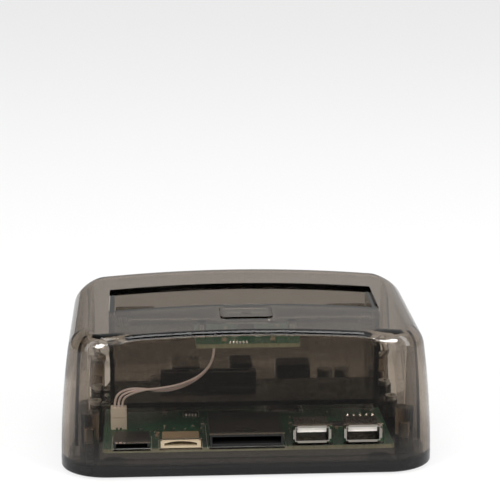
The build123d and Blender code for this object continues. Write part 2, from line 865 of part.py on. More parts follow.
def make_sata_connector():
    top = bay_floor_top + sata_above_floor
    y = sata_y()
    half, half_y = sata_size[0] / 2, sata_size[1] / 2
    x0, x1 = sata_offset - half, sata_offset + half
    body = block(x0, x1, y - half_y, y + half_y, board_top, top)
    foot_half_y = half_y + sata_foot / 2
    body = body + block(x0, x1, y - foot_half_y, y + foot_half_y, board_top, board_top + sata_foot)
    body = chamfer(body.edges().group_by(Axis.Z)[-1], seat_gap)
    for count, x in zip(sata_contact_counts, sata_slot_places):
        body = body - sata_slot(count, x, 0)
    return body


def make_sata_contacts():
    """Flat contacts along the front side of both slots."""
    strips = []
    wide, thick = sata_contact
    y0 = sata_y() - sata_slot_width / 2
    top = bay_floor_top + sata_above_floor
    for count, x in zip(sata_contact_counts, sata_slot_places):
        for number in range(count):
            centre = sata_offset + x + (number - (count - 1) / 2) * sata_pin_pitch
            z0, z1 = top - sata_slot_depth, top - seat_gap * 2
            strips.append(block(centre - wide / 2, centre + wide / 2, y0, y0 + thick, z0, z1))
    return strips


def make_micro_socket():
    """Sheet metal card socket, open at the front."""
    x, y0 = port_x(micro_share), front + socket_face
    shell = slab(micro_size, x, y0, board_top)
    width, height = micro_opening
    z0 = board_top + micro_sheet
    mouth = block(x - width / 2, x + width / 2, y0 - overrun, y0 + width, z0, z0 + height)
    return shell - mouth


def make_mini_socket():
    """Beige card socket: a flanged front with an arched mouth, and a grooved top."""
    x, y0 = port_x(mini_share), front + socket_face
    body = slab(mini_size, x, y0 + pin_gap, board_top) + slab(mini_flange, x, y0, board_top)
    width, height = mini_opening
    z0 = board_top + mini_sill
    y1 = y0 + mini_size[1] * 3 / 4
    body = body - block(x - width / 2, x + width / 2, y0 - overrun, y1, z0, z0 + height)
    rise = mini_arch
    arch = make_face(
        ThreePointArc((-width / 2, 0), (0, rise), (width / 2, 0)) + Line((width / 2, 0), (-width / 2, 0))
    )
    arch = extrude(Plane.XZ * arch, mini_flange[1], both=True)
    body = body - Pos(x, y0, z0 + height - pin_gap) * arch
    groove = (mini_groove[0], mini_groove[1], mini_groove[2] + overrun)
    groove_y = y0 + mini_flange[1] + mini_groove[1]
    return body - slab(groove, x, groove_y, board_top + mini_size[2] - mini_groove[2])


def make_sd_body():
    x, y0 = port_x(sd_share), front + socket_face
    inner = (sd_size[0] - 2 * sd_sheet - 2 * pin_gap, sd_size[1] - sd_sheet, sd_size[2] - sd_sheet - pin_gap)
    body = slab(inner, x, y0, board_top)
    width, height = sd_opening
    z0 = board_top + sd_sill
    return body - block(x - width / 2, x + width / 2, y0 - overrun, y0 + sd_size[1] * 3 / 4, z0, z0 + height)


def make_sd_shell():
    """Sheet metal cover over the card socket, with a raised tab."""
    x, y0 = port_x(sd_share), front + socket_face
    cover = slab(sd_size, x, y0 - pin_gap, board_top)
    room = (sd_size[0] - 2 * sd_sheet, 2 * sd_size[1], sd_size[2])
    cover = cover - slab(room, x, y0 - overrun, board_top - sd_sheet)
    tab_y = y0 + sd_tab[1]
    return cover + slab((sd_tab[0], sd_tab[1], sd_tab[2]), x, tab_y, board_top + sd_size[2] - pin_gap)


def usb_z():
    return board_top + usb_centre_above_board


def make_usb_shell(share):
    """Sheet metal tube with four lips bent outwards round its mouth."""
    x, y0, z = port_x(share), front + usb_face, usb_z()
    width, depth, height = usb_size
    shell = slab(usb_size, x, y0, z - height / 2)
    shell = fillet(shell.edges().filter_by(Axis.Y), usb_sheet)
    room = block(
        x - width / 2 + usb_sheet, x + width / 2 - usb_sheet, y0 - overrun, y0 + depth - usb_sheet,
        z - height / 2 + usb_sheet, z + height / 2 - usb_sheet,
    )
    relief = usb_lip_relief
    lips = slab((usb_lip[0], usb_lip[1], height - 2 * relief), x, y0, z - height / 2 + relief)
    lips = lips + slab((width - 2 * relief, usb_lip[1], usb_lip[2]), x, y0, z - usb_lip[2] / 2)
    return (shell + lips) - room


def make_usb_tongue(share):
    """Insulator: the tongue in the upper half of the mouth, and the block behind it."""
    x, y0, z = port_x(share), front + usb_face, usb_z()
    width, depth, height = usb_size
    inner_half, inner_height = width / 2 - usb_sheet - pin_gap, height - 2 * usb_sheet - 2 * pin_gap
    back_y = y0 + depth - usb_sheet - pin_gap
    top = z + height / 2 - usb_sheet - usb_tongue_drop
    tongue_front = back_y - usb_base - usb_tongue[1]
    half = usb_tongue[0] / 2
    tongue = block(x - half, x + half, tongue_front, back_y, top - usb_tongue[2], top)
    low = z - inner_height / 2
    base = block(x - inner_half, x + inner_half, back_y - usb_base, back_y, low, low + inner_height)
    return tongue + base


def make_usb_contacts():
    """Four strips on the underside of each tongue."""
    strips = []
    wide, long, thick = usb_contact
    for share in usb_shares:
        x, y0, z = port_x(share), front + usb_face, usb_z()
        under = z + usb_size[2] / 2 - usb_sheet - usb_tongue_drop - usb_tongue[2]
        y1 = y0 + usb_size[1] - usb_sheet - pin_gap - usb_base
        for number in (-1.5, -0.5, 0.5, 1.5):
            middle = x + number * usb_contact_pitch
            strips.append(block(middle - wide / 2, middle + wide / 2, y1 - long, y1, under - thick, under))
    return strips


def make_usb_seats():
    """Plastic seats that carry both USB-A shells on the board."""
    seats = []
    for share in usb_shares:
        x, y0 = port_x(share), front + usb_face
        y1 = y0 + usb_size[1]
        z1 = usb_z() - usb_size[2] / 2
        half = usb_size[0] / 2 - usb_sheet
        seats.append(block(x - half, x + half, board_front + usb_face, y1, board_top, z1))
    return seats


def rear_y():
    return back - rear_face


def usb_b_mouth(grow):
    """Square mouth with two bevelled upper corners, as a face in the XZ plane about its centre."""
    half, tall = usb_b_opening[0] / 2 + grow, usb_b_opening[1] / 2 + grow
    cut = usb_b_bevel
    points = [(-half, -tall), (half, -tall), (half, tall - cut), (half - cut, tall), (cut - half, tall)]
    points.append((-half, tall - cut))
    return Plane.XZ * make_face(Polyline(*points, close=True))


def make_usb_b_shell():
    x, y1 = port_x(usb_b_share), rear_y()
    shell = slab(usb_b_size, x, y1 - usb_b_size[1], board_top)
    shell = fillet(shell.edges().filter_by(Axis.Y).group_by(Axis.Z)[-1], usb_b_bevel / 2)
    z = board_top + usb_b_size[2] / 2
    mouth = extrude(usb_b_mouth(0), -usb_b_cavity - overrun)
    return shell - Pos(x, y1 - usb_b_cavity, z) * mouth


def make_usb_b_tongue():
    x, y1 = port_x(usb_b_share), rear_y()
    z = board_top + usb_b_size[2] / 2
    width, height, length = usb_b_tongue
    y0 = y1 - usb_b_cavity
    return block(x - width / 2, x + width / 2, y0, y0 + length, z - height / 2, z + height / 2)


def make_power_inlet():
    x, y1 = port_x(inlet_share), rear_y()
    body = slab(inlet_size, x, y1 - inlet_size[1], board_top)
    z = board_top + inlet_size[2] / 2
    return body - rod_y(x, y1 - inlet_depth, y1 + overrun, z, inlet_bore)


def make_power_pin():
    x, y1 = port_x(inlet_share), rear_y()
    z = board_top + inlet_size[2] / 2
    return rod_y(x, y1 - inlet_depth, y1 - inlet_pin_short, z, inlet_pin)


def rocker_place():
    """Pivot of the power rocker."""
    return port_x(switch_share), back - rocker_setback, board_top + housing_size[2] / 2


def make_switch_housing():
    x, y, z = rocker_place()
    y1 = rear_y()
    body = slab(housing_size, x, y1 - housing_size[1], board_top)
    room_x, room_z, room_y = rocker_room
    x0, x1 = x - room_x / 2, x + room_x / 2
    body = body - block(x0, x1, y1 - room_y, y1 + overrun, z - room_z / 2, z + room_z / 2)
    reach = rocker_height / 2 + rocker_stub + seat_gap
    return body - rod(x, y, z - reach, z + reach, rocker_stub_radius + pin_gap)


def make_power_rocker():
    """Rocker in its off position, tipped about an upright axis."""
    x, y, z = rocker_place()
    half = rocker_half
    outline = [(-half, rocker_edge), (0, rocker_middle), (half, rocker_edge), (half, 0), (-half, 0)]
    face = make_face(Polyline(*outline, close=True))
    rocker = extrude(face, rocker_height / 2, both=True)
    rocker = rocker + Cylinder(rocker_heel, rocker_height)
    rocker = rocker + Cylinder(rocker_stub_radius, rocker_height + 2 * rocker_stub)
    return Pos(x, y, z) * Rot(0, 0, -rocker_tilt) * rocker


def on_board(share, size, lift):
    """Box on the main board, at shares of the board's half sizes."""
    x, y = board_half * share[0], board_half_depth * share[1]
    return slab(size, x, y - size[1] / 2, board_top + lift)


def make_chip(size, share):
    """Flat chip with bevelled edges and a dot in one corner."""
    chip = on_board(share, size, chip_stand)
    chip = chamfer(chip.edges().group_by(Axis.Z)[-1], chip_stand)
    x = board_half * share[0] - size[0] / 3
    y = board_half_depth * share[1] - size[1] / 3
    top = board_top + chip_stand + size[2]
    return chip - rod(x, y, top - chip_stand, top + overrun, size[1] / 12)


def make_crystals():
    """Metal cans with round ends."""
    cans = []
    for share in crystal_shares:
        can = on_board(share, crystal_size, 0)
        can = fillet(can.edges().filter_by(Axis.Z), crystal_size[1] / 2 - pin_gap)
        cans.append(can)
    return cans


def make_coil():
    coil = on_board(coil_share, coil_size, 0)
    return chamfer(coil.edges().filter_by(Axis.Z), coil_round)


def make_can_capacitors():
    """Upright capacitors: a round can on a square base."""
    cans = []
    for share in can_shares:
        x, y = board_half * share[0], board_half_depth * share[1]
        side = 2 * can_radius
        base = slab((side, side, can_base), x, y - can_radius, board_top)
        base = chamfer(base.edges().filter_by(Axis.Z), can_base)
        can = rod(x, y, board_top + can_base - pin_gap, board_top + can_height, can_radius)
        can = fillet(can.edges().group_by(Axis.Z)[-1], seat_gap)
        cans.append(base + can)
    return cans


def make_bead():
    bead = on_board(bead_share, bead_size, 0)
    return chamfer(bead.edges().group_by(Axis.Z)[-1], seat_gap)


def make_solder_joints():
    """Row of soldered pin ends."""
    x, y = board_half * joint_start_share[0], board_half_depth * joint_start_share[1]
    cone = Cone(joint_foot, joint_tip, joint_height)
    z = board_top + joint_height / 2
    return [Pos(x + number * joint_pitch, y, z) * cone for number in range(joint_count)]


pieces = {
    "top_shell": make_top_shell(),
    "base_tray": make_base_tray(),
    "rubber_feet": make_feet(),
    "case_screws": make_case_screws(),
    "bay_frame": make_bay_frame(),
    "bay_screws": make_bay_screws(),
    "slot_flap": make_slot_flap(),
    "flap_pin": make_flap_pin(),
    "flap_spring_left": make_flap_spring(-1),
    "flap_spring_right": make_flap_spring(1),
    "top_button": make_top_button(),
    "switch_plunger": make_switch_plunger(),
    "tactile_switch": make_tactile_switch(),
    "button_board": make_button_board(),
    "button_board_screws": make_button_screws(),
    "indicator_lamps": make_lamps(),
    "lead_wire_front": make_wire(-1),
    "lead_wire_middle": make_wire(0),
    "lead_wire_back": make_wire(1),
    "lead_plug": make_lead_plug(),
    "lead_header": make_lead_header(),
    "main_board": make_main_board(),
    "board_screws": make_board_screws(),
    "sata_connector": make_sata_connector(),
    "sata_contacts": make_sata_contacts(),
    "micro_card_socket": make_micro_socket(),
    "mini_card_socket": make_mini_socket(),
    "sd_socket_body": make_sd_body(),
    "sd_socket_cover": make_sd_shell(),
    "usb_shell_left": make_usb_shell(usb_shares[0]),
    "usb_shell_right": make_usb_shell(usb_shares[1]),
    "usb_tongue_left": make_usb_tongue(usb_shares[0]),
    "usb_tongue_right": make_usb_tongue(usb_shares[1]),
    "usb_contacts": make_usb_contacts(),
    "usb_seats": make_usb_seats(),
    "usb_b_socket": make_usb_b_shell(),
    "usb_b_tongue": make_usb_b_tongue(),
    "power_inlet": make_power_inlet(),
    "power_inlet_pin": make_power_pin(),
    "switch_housing": make_switch_housing(),
    "power_rocker": make_power_rocker(),
    "bridge_chip": make_chip(bridge_chip, bridge_chip_share),
    "card_reader_chip": make_chip(card_chip, card_chip_share),
    "memory_chip": make_chip(memory_chip, memory_chip_share),
    "crystals": make_crystals(),
    "power_coil": make_coil(),
    "can_capacitors": make_can_capacitors(),
    "ferrite_bead": make_bead(),
    "solder_joints": make_solder_joints(),
}

for name, shape in pieces.items():
    solids = shape if isinstance(shape, list) else [shape]
    lifted = [Pos(0, 0, foot_proud) * solid for solid in solids]
    export_step(Compound(children=lifted) if len(lifted) > 1 else lifted[0], f"parts/{name}.step")
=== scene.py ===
"""Disk dock of smoked clear plastic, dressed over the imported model.

Lengths are millimetres, scaled by MM. The camera, floor and lamps are in metres.
"""

import bmesh
import bpy
import json
import math
import random
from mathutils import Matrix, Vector


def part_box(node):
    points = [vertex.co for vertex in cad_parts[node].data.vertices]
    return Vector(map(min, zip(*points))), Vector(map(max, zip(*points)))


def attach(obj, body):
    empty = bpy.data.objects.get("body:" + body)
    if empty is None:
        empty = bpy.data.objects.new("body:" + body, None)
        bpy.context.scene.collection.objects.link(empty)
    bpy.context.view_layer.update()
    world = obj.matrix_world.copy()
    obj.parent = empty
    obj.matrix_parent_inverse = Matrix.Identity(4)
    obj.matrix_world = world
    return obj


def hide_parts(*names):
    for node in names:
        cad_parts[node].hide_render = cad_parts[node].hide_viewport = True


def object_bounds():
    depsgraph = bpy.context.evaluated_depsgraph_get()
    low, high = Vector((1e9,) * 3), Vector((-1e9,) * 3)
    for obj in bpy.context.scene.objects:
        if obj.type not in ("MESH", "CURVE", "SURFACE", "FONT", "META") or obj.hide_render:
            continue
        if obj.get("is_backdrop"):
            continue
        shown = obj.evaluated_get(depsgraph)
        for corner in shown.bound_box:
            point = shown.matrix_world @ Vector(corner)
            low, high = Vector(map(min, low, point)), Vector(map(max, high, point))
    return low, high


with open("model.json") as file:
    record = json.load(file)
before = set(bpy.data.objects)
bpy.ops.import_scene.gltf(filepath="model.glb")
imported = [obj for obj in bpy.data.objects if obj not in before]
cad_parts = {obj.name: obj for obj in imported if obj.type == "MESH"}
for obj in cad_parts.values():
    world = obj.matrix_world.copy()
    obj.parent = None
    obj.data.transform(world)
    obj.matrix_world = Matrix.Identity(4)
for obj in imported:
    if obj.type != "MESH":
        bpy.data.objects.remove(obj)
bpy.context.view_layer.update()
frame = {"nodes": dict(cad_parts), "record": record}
nodes = frame["nodes"]
MM = 0.001
FOOT = 0.8
rng = random.Random(7)

# Camera at the photograph's viewing angle, in metres and degrees
CAMERA_PLACE = (-0.0369, -0.6737, 0.2277)
CAMERA_LENS = 125.27
CAMERA_DOWN, CAMERA_TURN = 12.473, -3.386
camera_data = bpy.data.cameras.new("view")
camera_data.sensor_width = 36
camera_data.lens = CAMERA_LENS
camera_data.clip_end = 30
camera = bpy.data.objects.new("view", camera_data)
camera.location = CAMERA_PLACE
camera.rotation_euler = (math.radians(90 - CAMERA_DOWN), 0, math.radians(CAMERA_TURN))
bpy.context.scene.collection.objects.link(camera)
bpy.context.scene.camera = camera


# Mesh helpers
def link(obj):
    bpy.context.scene.collection.objects.link(obj)
    return obj


def mesh_object(name, verts, faces):
    """Object from points in millimetres, counted from the tray's underside."""
    mesh = bpy.data.meshes.new(name)
    mesh.from_pydata([(x * MM, y * MM, (z + FOOT) * MM) for x, y, z in verts], [], faces)
    mesh.validate()
    return link(bpy.data.objects.new(name, mesh))


def recalc(obj):
    """Turns all faces of a closed mesh outwards."""
    bm = bmesh.new()
    bm.from_mesh(obj.data)
    bmesh.ops.recalc_face_normals(bm, faces=bm.faces)
    bm.to_mesh(obj.data)
    bm.free()
    return obj


def combine(obj, other, operation):
    """Boolean of two closed meshes. The result becomes obj's mesh, and the other object goes."""
    modifier = obj.modifiers.new("cut", "BOOLEAN")
    modifier.operation = operation
    modifier.object = other
    modifier.solver = "EXACT"
    depsgraph = bpy.context.evaluated_depsgraph_get()
    mesh = bpy.data.meshes.new_from_object(obj.evaluated_get(depsgraph))
    obj.modifiers.remove(modifier)
    obj.data = mesh
    bpy.data.objects.remove(other)


def smooth(obj, angle):
    """Smooth shading, with edges sharper than the angle left as they are."""
    for polygon in obj.data.polygons:
        polygon.use_smooth = True
    obj.data.set_sharp_from_angle(angle=math.radians(angle))


BOX_SIDES = [(0, 1, 3, 2), (4, 6, 7, 5), (0, 4, 5, 1), (2, 3, 7, 6), (0, 2, 6, 4), (1, 5, 7, 3)]


def box(x0, x1, y0, y1, z0, z1):
    verts = [(x, y, z) for x in (x0, x1) for y in (y0, y1) for z in (z0, z1)]
    return mesh_object("box", verts, BOX_SIDES)


def round_ring(sides):
    """Points of a circle of radius 1."""
    return [(math.cos(2 * math.pi * k / sides), math.sin(2 * math.pi * k / sides)) for k in range(sides)]


def rod(x, y, z0, z1, radius, sides=48):
    """Upright round bar."""
    ring = round_ring(sides)
    verts = [(x + radius * c, y + radius * s, z) for z in (z0, z1) for c, s in ring]
    faces = [tuple(reversed(range(sides))), tuple(range(sides, 2 * sides))]
    for k in range(sides):
        n = (k + 1) % sides
        faces.append((k, n, sides + n, sides + k))
    return mesh_object("rod", verts, faces)


def rounded_block(cx, cy, w, d, r, z0, z1, steps=8):
    """Upright block with round corners."""
    ring = []
    for qx, qy, start in ((1, 1, 0), (-1, 1, 90), (-1, -1, 180), (1, -1, 270)):
        for k in range(steps + 1):
            a = math.radians(start + 90 * k / steps)
            ring.append((cx + qx * (w / 2 - r) + r * math.cos(a), cy + qy * (d / 2 - r) + r * math.sin(a)))
    n = len(ring)
    verts = [(x, y, z) for z in (z0, z1) for x, y in ring]
    faces = [tuple(reversed(range(n))), tuple(range(n, 2 * n))]
    for k in range(n):
        faces.append((k, (k + 1) % n, n + (k + 1) % n, n + k))
    return mesh_object("block", verts, faces)


def bevelled(obj, width, segments=2, angle=40):
    """Rounds the sharp edges of a piece, with a width in millimetres."""
    modifier = obj.modifiers.new("bevel", "BEVEL")
    modifier.width = width * MM
    modifier.segments = segments
    modifier.limit_method = "ANGLE"
    modifier.angle_limit = math.radians(angle)
    modifier.harden_normals = True


def finish_piece(obj, body, material, *replaced):
    """Gives a new piece its material and its body, and hides the CAD nodes that it stands for."""
    obj.data.materials.clear()
    obj.data.materials.append(material)
    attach(obj, body)
    if replaced:
        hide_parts(*replaced)


# Node trees and materials
class Nodes:
    """Short hand for building one node tree."""

    def __init__(self, tree):
        self.tree = tree
        tree.nodes.clear()

    def node(self, kind, **settings):
        made = self.tree.nodes.new(kind)
        for key, value in settings.items():
            setattr(made, key, value)
        return made

    def put(self, socket, value):
        """Links a socket to another one, or sets a plain value on it."""
        if isinstance(value, bpy.types.NodeSocket):
            self.tree.links.new(value, socket)
        else:
            socket.default_value = value

    def math(self, operation, a, b=0.5, clamp=False):
        made = self.node("ShaderNodeMath", operation=operation, use_clamp=clamp)
        self.put(made.inputs[0], a)
        self.put(made.inputs[1], b)
        return made.outputs[0]

    def split(self, vector):
        """The X, Y and Z of a vector, as outputs by name."""
        made = self.node("ShaderNodeSeparateXYZ")
        self.put(made.inputs[0], vector)
        return made.outputs


class Shader(Nodes):
    """One node material. The sizes of its textures are in millimetres."""

    def __init__(self, name):
        self.material = bpy.data.materials.new(name)
        self.material.use_nodes = True
        super().__init__(self.material.node_tree)
        self.out = self.node("ShaderNodeOutputMaterial")
        self.coord = self.node("ShaderNodeTexCoord").outputs["Object"]

    def noise(self, scale, detail=3.0, rough=0.5, stretch=(1, 1, 1)):
        """Noise whose blotches are about that many millimetres across."""
        mapping = self.node("ShaderNodeMapping")
        self.put(mapping.inputs["Vector"], self.coord)
        mapping.inputs["Scale"].default_value = [1000 / scale / s for s in stretch]
        made = self.node("ShaderNodeTexNoise")
        self.put(made.inputs["Vector"], mapping.outputs[0])
        made.inputs["Scale"].default_value = 1.0
        made.inputs["Detail"].default_value = detail
        made.inputs["Roughness"].default_value = rough
        return made.outputs["Fac"]

    def spread(self, value, low, high, to_low, to_high):
        """Maps the range low to high onto to_low to to_high."""
        made = self.node("ShaderNodeMapRange")
        self.put(made.inputs["Value"], value)
        ends = {"From Min": low, "From Max": high, "To Min": to_low, "To Max": to_high}
        for key, number in ends.items():
            made.inputs[key].default_value = number
        return made.outputs[0]

    def mix(self, factor, a, b):
        made = self.node("ShaderNodeMix", data_type="RGBA")
        self.put(made.inputs[0], factor)
        self.put(made.inputs[6], a if isinstance(a, bpy.types.NodeSocket) else (*a, 1))
        self.put(made.inputs[7], b if isinstance(b, bpy.types.NodeSocket) else (*b, 1))
        return made.outputs[2]

    def bump(self, height, strength, distance, normal=None):
        made = self.node("ShaderNodeBump")
        self.put(made.inputs["Height"], height)
        made.inputs["Strength"].default_value = strength
        made.inputs["Distance"].default_value = distance * MM
        if normal is not None:
            self.put(made.inputs["Normal"], normal)
        return made.outputs[0]

    def principled(self, **inputs):
        made = self.node("ShaderNodeBsdfPrincipled")
        for key, value in inputs.items():
            socket = made.inputs[key.replace("_", " ")]
            if isinstance(value, tuple) and len(value) == 3:
                value = (*value, 1)
            self.put(socket, value)
        return made.outputs[0]

    def done(self, surface):
        self.put(self.out.inputs["Surface"], surface)
        return self.material


ACRYLIC_IOR = 1.49


def smoked(name, passes, wall, wave=0.1, rough=0.03):
    """Clear smoked plastic. passes is the share of light that gets through a wall of that thickness.

    Shadow and diffuse rays go straight through it, and lose light in its depth alone.
    """
    s = Shader(name)
    patches = s.noise(38, 2)
    haze = s.spread(s.noise(9, 4), 0.3, 0.75, rough * 0.6, rough * 1.7)
    ripple = s.bump(patches, wave, 0.35)
    ripple = s.bump(s.noise(0.6, 2), 0.02, 0.05, ripple)
    body = s.principled(
        Base_Color=s.mix(patches, (0.97, 0.97, 0.965), (1, 1, 1)), Roughness=haze, IOR=ACRYLIC_IOR,
        Transmission_Weight=1.0, Normal=ripple,
    )
    path = s.node("ShaderNodeLightPath")
    clear = s.node("ShaderNodeBsdfTransparent")
    mixed = s.node("ShaderNodeMixShader")
    s.put(mixed.inputs[0], s.math("MAXIMUM", path.outputs["Is Shadow Ray"], path.outputs["Is Diffuse Ray"]))
    s.put(mixed.inputs[1], body)
    s.put(mixed.inputs[2], clear.outputs[0])
    strength = [-math.log(share) / (wall * MM) for share in passes]
    density = 1.25 * max(strength)
    depth = s.node("ShaderNodeVolumeAbsorption")
    depth.inputs["Color"].default_value = (*[1 - one / density for one in strength], 1)
    depth.inputs["Density"].default_value = density
    s.put(s.out.inputs["Volume"], depth.outputs[0])
    return s.done(mixed.outputs[0])


def moulded(name, color, rough=0.45, grain=0.25, depth=0.02, vary=0.12):
    """Moulded plastic with a fine spark grain and slight unevenness."""
    s = Shader(name)
    large = s.noise(6, 3)
    fine = s.noise(grain, 2)
    dark = tuple(c * (1 - vary) for c in color)
    return s.done(s.principled(
        Base_Color=s.mix(large, dark, color),
        Roughness=s.spread(fine, 0.3, 0.7, rough * 0.8, min(rough * 1.25, 1)),
        Normal=s.bump(fine, 0.35, depth, s.bump(large, 0.1, 0.1)),
    ))


# Front rim of the port shells: where its painted highlight starts, and its roughness
LIP_Y, LIP_ROUGH = -45.1, 0.5


def metal(name, color, rough=0.25, stretch=(1, 12, 1), tarnish=0.15, scale=0.12, lip_highlight=None):
    """Plated or drawn metal with fine lines along one direction and patches of tarnish.

    lip is the lighter colour of the front rim in front of LIP_Y, a painted highlight that stands in for the
    lamp light that rim catches.
    """
    s = Shader(name)
    lines = s.noise(scale, 2, 0.6, stretch)
    stain = s.noise(2.5, 4, 0.6)
    dull = tuple(c * (1 - tarnish) for c in color)
    base = s.mix(stain, dull, color)
    gloss = s.spread(lines, 0.25, 0.75, rough * 0.75, rough * 1.4)
    # Painted highlight: the front rim is lighter in colour, and also rougher
    if lip_highlight:
        rim = s.math("LESS_THAN", s.split(s.coord)["Y"], LIP_Y * MM)
        base = s.mix(rim, base, lip_highlight)
        gloss = s.math("MAXIMUM", gloss, s.math("MULTIPLY", rim, LIP_ROUGH))
    normal = s.bump(lines, 0.15, 0.01)
    return s.done(s.principled(Base_Color=base, Metallic=1.0, Roughness=gloss, Normal=normal))


TRACK_PITCH, TRACK_GAP = 0.75, 0.42
TRACK_AREA, VIA_SPACING = 9, 3.1
VIA_COPPER = (0.55, 0.53, 0.42)
RIM_DARK, RIM_PALE = (0.20, 0.22, 0.15), (0.30, 0.31, 0.22)


def board_material(name, mask, track):
    """Solder mask over copper tracks, with a fleck of glass weave, small vias and a bare rim."""
    s = Shader(name)
    across = s.split(s.coord)

    def cells(spacing, **settings):
        made = s.node("ShaderNodeTexVoronoi", **settings)
        s.put(made.inputs["Vector"], s.coord)
        made.inputs["Scale"].default_value = 1000 / spacing
        return made.outputs

    def stripes(axis):
        wave = s.math("FRACT", s.math("MULTIPLY", across[axis], 1000 / TRACK_PITCH), 0)
        return s.math("LESS_THAN", wave, TRACK_GAP)

    pick = s.node("ShaderNodeSeparateColor")
    s.put(pick.inputs[0], cells(TRACK_AREA, distance="CHEBYCHEV")["Color"])
    along_x = s.math("MULTIPLY", stripes("Y"), s.math("LESS_THAN", pick.outputs[0], 0.4))
    along_y = s.math("MULTIPLY", stripes("X"), s.math("GREATER_THAN", pick.outputs[0], 0.62))
    tracks = s.math("MAXIMUM", along_x, along_y)
    via = s.math("LESS_THAN", cells(VIA_SPACING)["Distance"], 0.1)
    weave = s.noise(0.5, 2, 0.5, (1, 1, 6))
    base = s.mix(weave, tuple(c * 0.85 for c in mask), mask)
    base = s.mix(s.math("MULTIPLY", tracks, 0.75), base, track)
    base = s.mix(via, base, VIA_COPPER)
    upright = s.split(s.node("ShaderNodeNewGeometry").outputs["Normal"])["Z"]
    rim = s.math("LESS_THAN", s.math("ABSOLUTE", upright, 0), 0.5)
    base = s.mix(rim, base, s.mix(weave, RIM_DARK, RIM_PALE))
    return s.done(s.principled(
        Base_Color=base, Metallic=s.math("MULTIPLY", via, 0.8),
        Roughness=s.spread(weave, 0.3, 0.7, 0.22, 0.38),
        Normal=s.bump(s.math("ADD", tracks, via), 0.5, 0.04),
    ))


def insulation(name, color):
    """Soft plastic that light enters a little, for wires and lamp lenses."""
    s = Shader(name)
    large = s.noise(5, 2)
    return s.done(s.principled(
        Base_Color=s.mix(large, tuple(c * 0.85 for c in color), color),
        Roughness=s.spread(large, 0.3, 0.7, 0.28, 0.42),
        Subsurface_Weight=0.15, Subsurface_Scale=0.0004, Normal=s.bump(s.noise(0.4, 2), 0.15, 0.02),
    ))


# Shares of red, green and blue light that pass one wall, and the walls' thicknesses
WALL = 2.5
SHELL_SMOKE = (0.575, 0.53, 0.48)
BAY_SMOKE = (0.34, 0.315, 0.285)
TRAY_SMOKE = (0.27, 0.255, 0.24)
shell_smoke = smoked("smoked shell", SHELL_SMOKE, WALL)
bay_smoke = smoked("smoked bay", BAY_SMOKE, 2.2, 0.12, 0.04)
tray_smoke = smoked("smoked tray", TRAY_SMOKE, 1.8, 0.2, 0.06)
flap_smoke = smoked("smoked flap", BAY_SMOKE, 1.6, rough=0.05)
black = moulded("black moulding", (0.022, 0.022, 0.023), 0.4)
socket_black = moulded("black socket", (0.012, 0.012, 0.012), 0.35)
rubber = moulded("foot rubber", (0.02, 0.02, 0.02), 0.8, 0.4, 0.04)
epoxy = moulded("chip epoxy", (0.025, 0.025, 0.027), 0.5, 0.12, 0.02)
ivory = moulded("ivory nylon", (0.93, 0.88, 0.81), 0.42, 0.2, 0.01, 0.06)
beige = moulded("beige nylon", (0.46, 0.37, 0.25), 0.45, 0.2, 0.01, 0.1)
steel = metal("bright steel", (0.60, 0.575, 0.545), 0.2)
# The port shells and card sockets get a lighter front rim, a painted highlight
cover_steel = metal("cover steel", (0.22, 0.21, 0.20), 0.26, lip_highlight=(0.50, 0.47, 0.42))
dark_steel = metal("dark steel", (0.085, 0.085, 0.085), 0.3, lip_highlight=(0.25, 0.25, 0.24))
spring_steel = metal("spring steel", (0.6, 0.6, 0.6), 0.28, (12, 1, 1))
zinc = metal("zinc screws", (0.55, 0.55, 0.53), 0.35, (1, 1, 1), 0.25, 0.3)
gold = metal("gold plate", (0.83, 0.62, 0.29), 0.25)
tin = metal("solder", (0.78, 0.78, 0.76), 0.22, (1, 1, 1), 0.1, 0.2)
aluminium = metal("can aluminium", (0.72, 0.72, 0.73), 0.3, (1, 1, 20))
board_green = board_material("green solder mask", (0.012, 0.075, 0.040), (0.03, 0.14, 0.075))
jacket = insulation("wire insulation", (0.74, 0.66, 0.68))
lens = insulation("lamp lens", (0.90, 0.90, 0.86))

by_slot = {
    "smoked_plastic": bay_smoke, "black_plastic": black, "black_rubber": rubber,
    "green_board": board_green, "bright_steel": steel, "zinc_steel": zinc, "ivory_plastic": ivory,
    "beige_plastic": beige, "dark_body": epoxy, "can_aluminium": aluminium, "gold_contact": gold,
    "solder": tin, "lamp_lens": lens, "wire_jacket": jacket,
}
slot_of = {row["node"]: row["material_slot"] for row in frame["record"]["subparts"]}
special = {
    "base_tray": tray_smoke, "slot_flap": flap_smoke, "top_button": shell_smoke,
    "sd_socket_body": socket_black, "flap_spring_left": spring_steel, "flap_spring_right": spring_steel,
    "usb_shell_left": cover_steel, "usb_shell_right": cover_steel, "sd_socket_cover": dark_steel,
    "micro_card_socket": dark_steel,
}
for name, obj in nodes.items():
    obj.data.materials.clear()
    obj.data.materials.append(special.get(name) or by_slot[slot_of[name]])


# Wires from the button board to the plug: the control points of each, and their width in metres
routes = {
    "lead_wire_front": [
        (-13.06, -38.5, 49.5), (-13.06, -38.5, 44.84), (-17.56, -35.62, 37.93), (-25.26, -30.32, 32.71),
        (-33.15, -25.48, 29.85), (-40.07, -22.07, 28.25), (-45.44, -19.29, 25.69), (-48.26, -18.05, 23.32),
        (-48.26, -18.05, 20.35),
    ],
    "lead_wire_middle": [
        (-12.91, -37.0, 49.5), (-12.91, -37.0, 44.69), (-17.33, -34.19, 37.4), (-24.96, -29.19, 31.81),
        (-32.92, -24.4, 28.8), (-40.07, -20.6, 28.1), (-45.97, -18.39, 26.59), (-49.76, -18.05, 23.99),
        (-49.76, -18.05, 20.35),
    ],
    "lead_wire_back": [
        (-12.76, -35.5, 49.5), (-12.76, -35.5, 44.54), (-17.11, -32.77, 36.88), (-24.66, -28.07, 30.91),
        (-32.7, -23.32, 27.75), (-40.07, -19.13, 27.95), (-46.49, -17.49, 27.49), (-51.26, -18.05, 24.67),
        (-51.26, -18.05, 20.35),
    ],
}
WIRE_WIDTH = 0.0009
